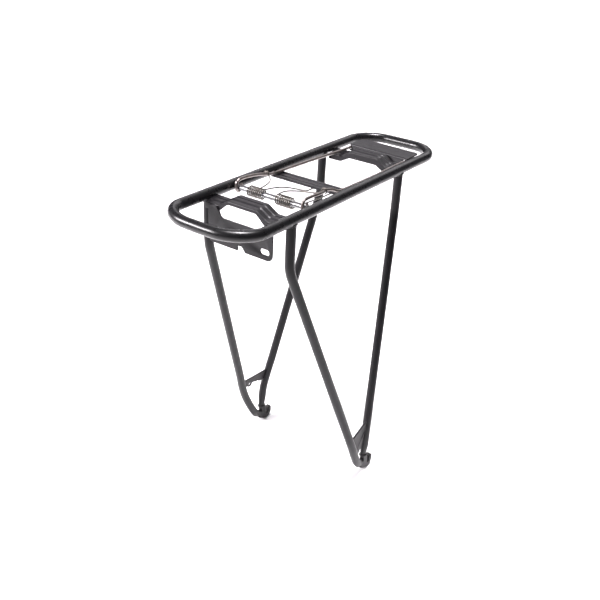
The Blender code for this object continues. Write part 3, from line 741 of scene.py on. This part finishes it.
def gusset_offset(z):
    """X of the legs' middle plane at a height, from where they splay out to their ankles."""
    ankle_x, ankle_z = ((a + b) / 2 for a, b in zip(REAR_ANKLE[::2], FRONT_ANKLE[::2]))
    share = min(1.0, (z - LEG_BEND_Z) / (ankle_z - LEG_BEND_Z))
    return HALF_WIDTH + (ankle_x - HALF_WIDTH) * share


def build_gusset(side, outline):
    label = "left" if side < 0 else "right"
    half = GUSSET_THICKNESS / 2
    obj = slab(label + "_web", outline, -half, half, PRESSING)
    if side < 0:
        subtract(obj, [slab("hole", arc(STAY_HOLE, STAY_HOLE_RADIUS, 0, 345, 23), -0.01, 0.01, PRESSING)])
    bevel(obj, 0.0003)
    for vertex in obj.data.vertices:
        vertex.co.x = side * (gusset_offset(vertex.co.z - DECK.z) + vertex.co.x)
    if side < 0:
        obj.data.flip_normals()
    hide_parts(label + "_gusset")
    return obj


# ---- clamp, hinge and springs -----------------------------------------------------------------------
def clamp_skew(y):
    """Sideways shift of the clamp, at a distance ahead of the hinge axis."""
    reach = WIRE_FRONT_Y - HINGE.y - CLAMP_SKEW_FROM
    return CLAMP_SKEW * max(0.0, y - CLAMP_SKEW_FROM) / reach


def clamp_wire_path():
    """One wire: an open eye round the axle, an arm, the front, then the same mirrored."""
    eye = [Vector((EYE_X, y, z)) for y, z in arc((0, 0), EYE_RADIUS, 40, -180, 30)]
    arm = [(EYE_X, -EYE_RADIUS, 0.0020), (EYE_X, -0.0036, 0.0066), (EYE_X, 0.0010, 0.0090),
           (EYE_X, 0.0100, 0.0092), (0.0462, 0.0250, 0.0082), (0.0445, 0.0380, 0.0066),
           (0.0412, 0.0450, 0.0056), (0.0400, 0.0510, 0.0048), (0.0425, 0.0590, 0.0040),
           (0.0456, 0.0640, 0.0018), (0.0466, 0.0720, 0.0006), (0.0466, 0.1000, 0.0004),
           (0.0454, 0.1500, 0.0001), (0.0432, 0.1950, WIRE_FRONT_Z)]
    middle = (WIRE_FRONT_X - WIRE_CORNER, WIRE_FRONT_Y - HINGE.y - WIRE_CORNER)
    corner = [Vector((x, y, WIRE_FRONT_Z)) for x, y in arc(middle, WIRE_CORNER, 0, 90, 14)]
    half = eye + smooth_path(arm, 10) + corner
    path = [Vector((-p.x, p.y, p.z)) for p in half] + half[::-1]
    return [Vector((p.x + clamp_skew(p.y), p.y, p.z)) + HINGE for p in path]


def build_clamp_plate():
    """Folded plate with rounded front corners; its rear lip leans back over the cross member."""
    rear, front = CLAMP_PLATE_Y
    low_x, high_x = CLAMP_PLATE_X
    top, bend, corner = CLAMP_PLATE_TOP_Z, CLAMP_PLATE_FOLD, CLAMP_PLATE_CORNER
    profile = [(rear - CLAMP_LIP_LEAN * (1 - k / 4), CLAMP_LIP_Z + (top - bend - CLAMP_LIP_Z) * k / 4)
               for k in range(4)]
    profile += arc((rear + bend, top - bend), bend, 180, 90, 8)
    profile += [(rear + bend + (front - rear - bend) * k / 14, top) for k in range(1, 15)]
    rows = []
    for i in range(41):
        row = []
        for y, z in profile:
            depth = max(0.0, y - (front - corner))
            inset = corner - math.sqrt(max(0.0, corner ** 2 - depth ** 2))
            low, high = low_x + inset, high_x - inset
            x = low + (high - low) * i / 40
            row.append((x, y - CLAMP_PLATE_TURN * (x - (low_x + high_x) / 2), z))
        rows.append(row)
    obj = sheet("clamp_press_plate", rows, CLAMP_SHEET, PRESSING, (0.0, (rear + front) / 2, top))
    cutters = []
    for side in (-1, 1):
        ends = [Vector((side * x + clamp_skew(y), y, WIRE_FRONT_Z)) + HINGE
                for x, y in ((0.0432, 0.2050), (WIRE_FRONT_X, 0.2400))]
        cutters.append(sweep("notch", ends, WIRE_RADIUS + WIRE_CLEARANCE, PRESSING, sides=24))
    subtract(obj, cutters)
    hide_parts("clamp_plate")
    return obj


def axle_bar(name, node, low_x, high_x, radius, points, chamfer):
    """Plated bar on the hinge axis, between two places along it."""
    path = [(low_x + (high_x - low_x) * i / (points - 1), HINGE.y, HINGE.z) for i in range(points)]
    obj = sweep(name, path, radius, ZINC, sides=40, chamfer=chamfer)
    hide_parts(node)
    return obj


def build_axle():
    made = [axle_bar("axle_rod", "hinge_axle", -AXLE_END_X, AXLE_END_X, AXLE_RADIUS, 3, 0.0004)]
    for label in ("left", "centre", "right"):
        low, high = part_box(label + "_axle_sleeve")
        made.append(axle_bar(label + "_sleeve_bush", label + "_axle_sleeve", low.x, high.x,
                             SLEEVE_RADIUS, 2, 0.0005))
    return made


def coil_path(left_x, way):
    """The coil from its left end to its right; way is 1 or -1 for its winding."""
    steps = int(COIL_TURNS * 26)
    path = []
    for i in range(steps + 1):
        share = i / steps
        angle = way * (-0.5 * math.pi - 2 * math.pi * COIL_TURNS * share)
        path.append(HINGE + Vector((left_x + COIL_LENGTH * share, COIL_RADIUS * math.cos(angle),
                                    COIL_RADIUS * math.sin(angle))))
    return path


def hook_arc(side):
    """The spring's hook round an arm of the clamp wire."""
    radius = WIRE_RADIUS + SPRING_WIRE + WIRE_CLEARANCE
    across, ahead, up = HOOK_PLACE
    return [Vector((side * x, ahead, z)) for x, z in arc((across, up), radius, 190, -60, 22)]


def build_spring(label, left_x, hook_leg, bar_leg, side):
    """One spring: a leg hooked on the clamp wire, the coil, and a leg under the crossbar."""
    coil = coil_path(left_x, -side)
    hook_end = hook_arc(side)
    hook = smooth_path([coil[0] - HINGE, *hook_leg, hook_end[0]], 8) + hook_end[1:]
    bar = smooth_path([coil[-1] - HINGE, *bar_leg], 8)
    made = {}
    for part, path, body in (("coil", coil, None), ("hook", [p + HINGE for p in hook], "clamp"),
                             ("tail", [p + HINGE for p in bar], "carrier")):
        obj = sweep(label + "_spring_" + part, path, SPRING_WIRE * SPRING_SLIMMING, SPRING,
                    sides=16, chamfer=0.0002)
        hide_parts(label + "_torsion_spring")
        made[part] = obj
        if body:
            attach(obj, body)
    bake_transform(made["coil"])


def build_springs():
    low, high = -COIL_RADIUS, COIL_RADIUS
    left_hook = [(-0.0306, 0.0030, low), (-0.0318, 0.0130, -0.0050), (-0.0335, 0.0240, -0.0042),
                 (-0.0340, 0.0330, -0.0036), (-0.0340, 0.0410, -0.0010), (-0.0362, 0.0440, 0.0025)]
    left_bar = [(-0.0099, 0.0015, high), (-0.0090, 0.0060, 0.0055), (-0.0076, 0.0160, 0.0046),
                (-0.0028, 0.0286, 0.0032), (0.0060, 0.0385, 0.0008), (0.0090, 0.0480, -0.0026),
                (0.0080, 0.0580, -0.0062), (0.0075, 0.0650, -0.0069), (0.0075, 0.0760, -0.0069)]
    right_hook = [(0.0097, 0.0030, high), (0.0088, 0.0070, 0.0053), (0.0080, 0.0130, 0.0046),
                  (0.0082, 0.0210, 0.0034), (0.0115, 0.0290, 0.0022), (0.0176, 0.0345, 0.0016),
                  (0.0240, 0.0380, 0.0014), (0.0300, 0.0408, 0.0014), (0.0356, 0.0435, 0.0024)]
    right_bar = [(0.0302, 0.0015, low), (0.0306, 0.0110, -0.0058), (0.0315, 0.0300, -0.0062),
                 (0.0325, 0.0500, -0.0068), (0.0330, 0.0640, -0.0069), (0.0330, 0.0760, -0.0069)]
    build_spring("left", LEFT_COIL_X, left_hook, left_bar, -1)
    build_spring("right", RIGHT_COIL_X, right_hook, right_bar, 1)


# ---- welds ------------------------------------------------------------------------------------------------
def ellipse(centre, half_x, half_y, points):
    """Points of a closed ellipse in the plane across Z."""
    angles = (2 * math.pi * i / points for i in range(points))
    return [Vector(centre) + Vector((half_x * math.cos(a), half_y * math.sin(a), 0)) for a in angles]


def saddle_bead(name, side, y):
    """Bead where an upright leg meets the underside of the rail, a little flatter than the rail."""
    rail_x = side * HALF_WIDTH
    path = ellipse((rail_x, y, 0), LEG_RADIUS, LEG_RADIUS, 72)
    for point in path:
        point.z = -math.sqrt(RAIL_RADIUS ** 2 - (0.97 * (point.x - rail_x)) ** 2)
    return bead(name, path, SADDLE_BEAD, cyclic=True)


def line_bead(name, start, end, spacing=0.0006):
    start, end = Vector(start), Vector(end)
    steps = int((end - start).length / spacing)
    return bead(name, [start.lerp(end, i / steps) for i in range(steps + 1)], LINE_BEAD)


def axle_bead(name, side):
    path = [HINGE + Vector((side * AXLE_END_X, y, z)) for y, z in arc((0, 0), AXLE_RADIUS, 0, 351, 39)]
    return bead(name, path, AXLE_BEAD, cyclic=True)


def foot_bead(name, side):
    x, y, z = FRONT_LEG_END
    return bead(name, ellipse((side * x, y, z - 0.0006), 0.0044, 0.0058, 60), FOOT_BEAD, cyclic=True)


def build_welds():
    made = []
    for side, label in ((-1, "left"), (1, "right")):
        made.append(saddle_bead("weld_rear_leg_" + label, side, REAR_LEG_Y))
        made.append(saddle_bead("weld_front_leg_" + label, side, FRONT_LEG_Y))
        x, ear_z = side * WELD_X, EAR_TOP_Z + 0.0003
        for end, rear_y in (("rear", REAR_ARCH_Y), ("front", FRONT_ARCH_Y)):
            made.append(line_bead("weld_" + end + "_arch_" + label, (x, rear_y + 0.0020, ear_z),
                                  (x, rear_y + ARCH_DEPTH - 0.0015, ear_z)))
        made.append(line_bead("weld_crossbar_" + label, (x, BAR_Y - 0.0085, BAR_TOP_Z),
                              (x, BAR_Y + 0.0085, BAR_TOP_Z)))
        made.append(axle_bead("weld_axle_" + label, side))
        made.append(foot_bead("weld_foot_" + label, side))
    return made


# ---- assembly ---------------------------------------------------------------------------------------------
def build_loop():
    obj = sweep("deck_loop", loop_path(), RAIL_RADIUS, TUBE, sides=48, cyclic=True)
    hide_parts("top_loop")
    return obj


def build_clamp_wire():
    obj = sweep("clamp_frame_wire", clamp_wire_path(), WIRE_RADIUS * WIRE_SLIMMING, NICKEL, sides=24)
    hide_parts("clamp_wire")
    return obj


def build_object():
    carrier = [build_loop()]
    carrier.append(build_arch("rear_cross_member", "rear_arch", REAR_ARCH_Y, REAR_APRON))
    carrier.append(build_arch("front_cross_member", "front_arch", FRONT_ARCH_Y, FRONT_APRON))
    carrier.append(build_lamp_plate())
    carrier.append(build_crossbar())
    for side in (-1, 1):
        carrier += [build_leg(side, False), build_leg(side, True), build_lug(side)]
    carrier.append(build_gusset(-1, band_outline()))
    carrier.append(build_gusset(1, triangle_outline()))
    carrier += build_axle()
    carrier += build_welds()
    for obj in carrier:
        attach(obj, "carrier")
    for obj in (build_clamp_wire(), build_clamp_plate()):
        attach(obj, "clamp")
    build_springs()


# ---- floor, light and camera --------------------------------------------------------------------------------
def build_floor():
    bm = bmesh.new()
    bmesh.ops.create_grid(bm, x_segments=8, y_segments=8, size=FLOOR_SIZE)
    mesh = bpy.data.meshes.new("studio_floor")
    bm.to_mesh(mesh)
    bm.free()
    material, nodes, links, shader = new_material("pale_floor")
    place = nodes.new("ShaderNodeTexCoord").outputs["Object"]
    tone = add_noise(nodes, links, place, scale=3.0, detail=4.0)
    links.new(ramp(nodes, links, tone, ((0.3, (0.93, 0.93, 0.93)), (0.7, (0.95, 0.95, 0.95)))),
              shader.inputs["Base Color"])
    shader.inputs["Roughness"].default_value = 0.9
    shader.inputs["Specular IOR Level"].default_value = 0.1
    floor = link("studio_floor", mesh, material)
    floor.location = (0, 0, FLOOR_Z)


def area_light(name, location, target, size, energy, spread=math.pi):
    """Rectangular softbox that faces its target; a small spread keeps its light to a beam."""
    data = bpy.data.lights.new(name, "AREA")
    data.shape = "RECTANGLE"
    data.size, data.size_y = size
    data.energy = energy
    data.color = LIGHT_COLOUR
    data.spread = spread
    obj = bpy.data.objects.new(name, data)
    obj.location = location
    obj.rotation_euler = (Vector(target) - Vector(location)).to_track_quat("-Z", "Y").to_euler()
    bpy.context.scene.collection.objects.link(obj)


def build_light():
    """A beam from above lights only the floor that the camera sees, so the black tubes stay dark."""
    world = bpy.data.worlds.new("studio")
    bpy.context.scene.world = world
    world.use_nodes = True
    background = world.node_tree.nodes["Background"]
    background.inputs["Color"].default_value = (0.96, 0.97, 1.0, 1.0)
    background.inputs["Strength"].default_value = 0.14
    area_light("ceiling_softbox", (-2.90, 3.44, 3.6), (-2.90, 3.44, 0.0), (7.2, 8.12),
               energy=350, spread=0.32)
    area_light("back_softbox", (-1.3, 3.5, 2.8), (0, 0, 0.35), (4.2, 1.8), energy=46)
    area_light("key_softbox", (-1.16, -1.28, 1.12), (0, -0.24, 0.40), (1.1, 0.24), energy=74)
    bpy.context.scene.view_settings.view_transform = "Standard"


def build_camera():
    """Camera at the photo's viewing angle."""
    data = bpy.data.cameras.new("camera")
    data.sensor_width = 36.0
    data.lens = CAMERA_LENS
    data.clip_end = 60.0
    camera = bpy.data.objects.new("camera", data)
    back = -CAMERA_FORWARD.normalized()
    right = (CAMERA_RIGHT - back * CAMERA_RIGHT.dot(back)).normalized()
    up = back.cross(right)
    turn = Matrix((right, up, back)).transposed().to_4x4()
    camera.matrix_world = Matrix.Translation(DECK + CAMERA_PLACE) @ turn
    bpy.context.scene.collection.objects.link(camera)
    bpy.context.scene.camera = camera


build_object()
build_floor()
build_light()
build_camera()
